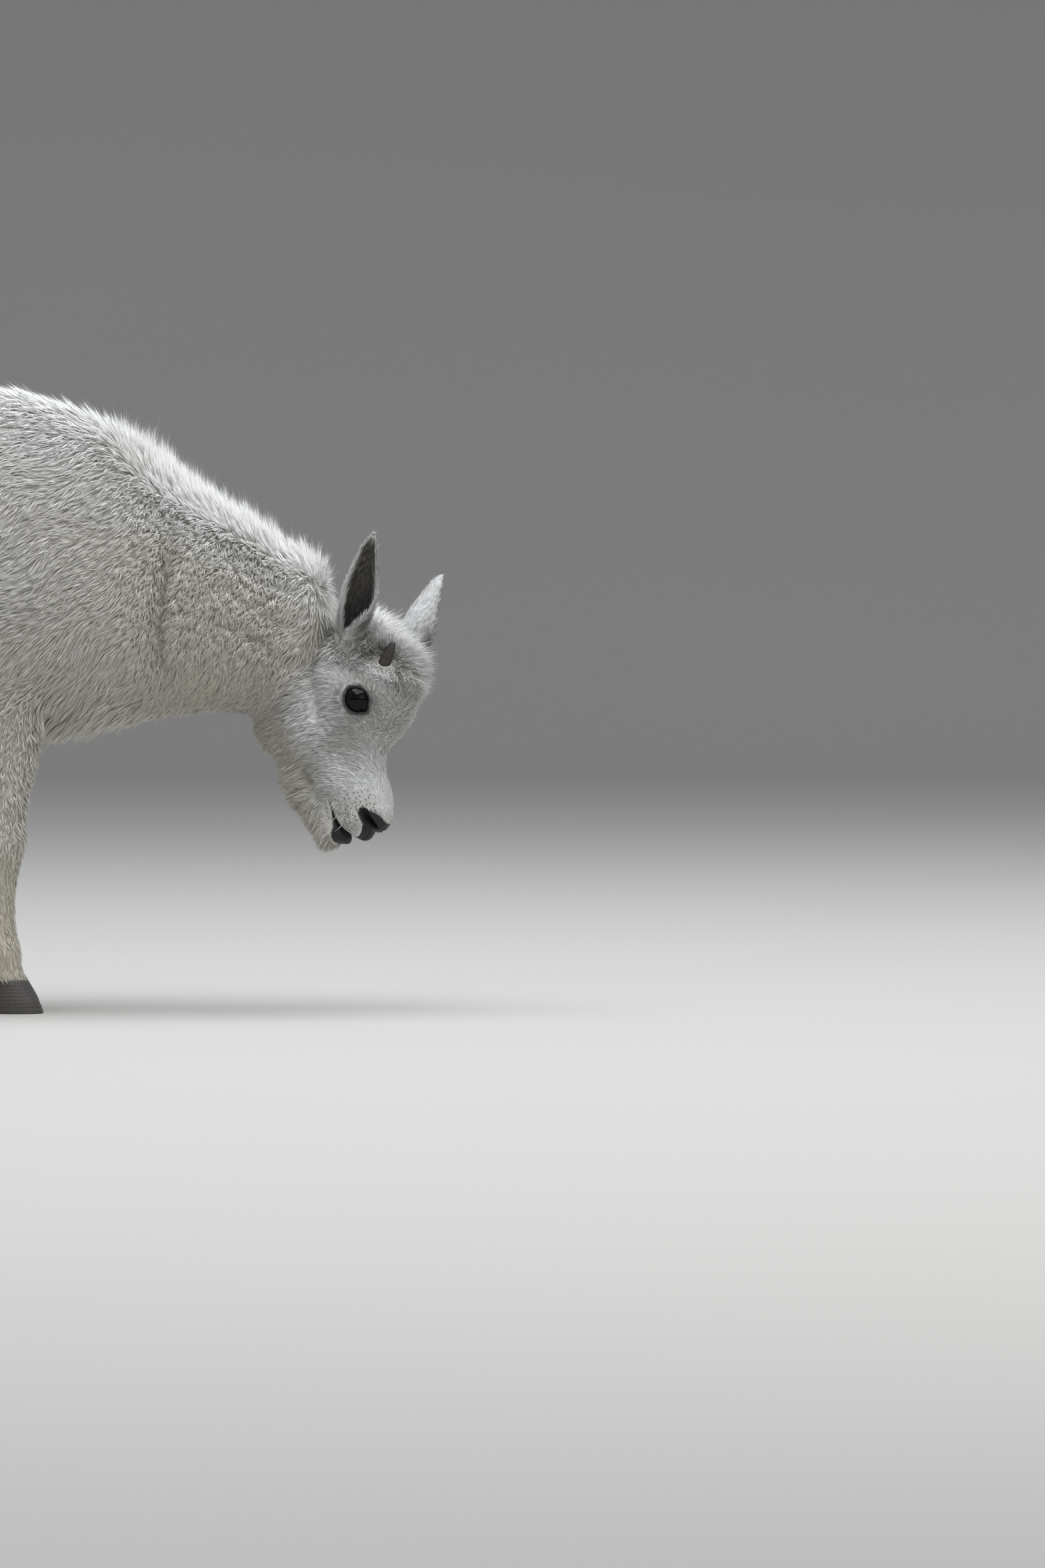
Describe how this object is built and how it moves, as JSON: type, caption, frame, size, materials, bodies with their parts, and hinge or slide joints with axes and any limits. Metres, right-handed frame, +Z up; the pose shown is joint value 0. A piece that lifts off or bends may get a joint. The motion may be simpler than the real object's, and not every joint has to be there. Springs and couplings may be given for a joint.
{
  "type": "mountain goat kid",
  "caption": "Life-size still model of a white woolly mountain goat kid, standing on four hooves with its neck lowered and its face turned to one side.",
  "frame": {"origin": "on the floor, at the middle of the animal's footprint box", "axes": "+X forward towards the head, +Y the animal's left, +Z up"},
  "size_m": [0.7628, 0.1846, 0.4756],
  "materials": {
    "coat": "soft white woolly coat",
    "leg_coat": "short curly cream coat",
    "ear": "short pale hair outside, dark grey hair in the cup",
    "eye": "wet black",
    "horn": "dull dark horn",
    "hoof": "dull dark horn with faint growth rings"
  },
  "bodies": {
    "root": {"head": "coat", "neck": "coat", "torso": "coat", "tail": "coat", "ear_right": "ear", "eye_right": "eye", "horn_bud_right": "horn", "ear_left": "ear", "eye_left": "eye", "horn_bud_left": "horn", "foreleg_right": "leg_coat", "forehoof_right_outer": "hoof", "foredewclaw_right_outer": "hoof", "forehoof_right_inner": "hoof", "foredewclaw_right_inner": "hoof", "foreleg_left": "leg_coat", "forehoof_left_outer": "hoof", "foredewclaw_left_outer": "hoof", "forehoof_left_inner": "hoof", "foredewclaw_left_inner": "hoof", "hindleg_right": "leg_coat", "hindhoof_right_outer": "hoof", "hinddewclaw_right_outer": "hoof", "hindhoof_right_inner": "hoof", "hinddewclaw_right_inner": "hoof", "hindleg_left": "leg_coat", "hindhoof_left_outer": "hoof", "hinddewclaw_left_outer": "hoof", "hindhoof_left_inner": "hoof", "hinddewclaw_left_inner": "hoof"}
  },
  "joints": []
}
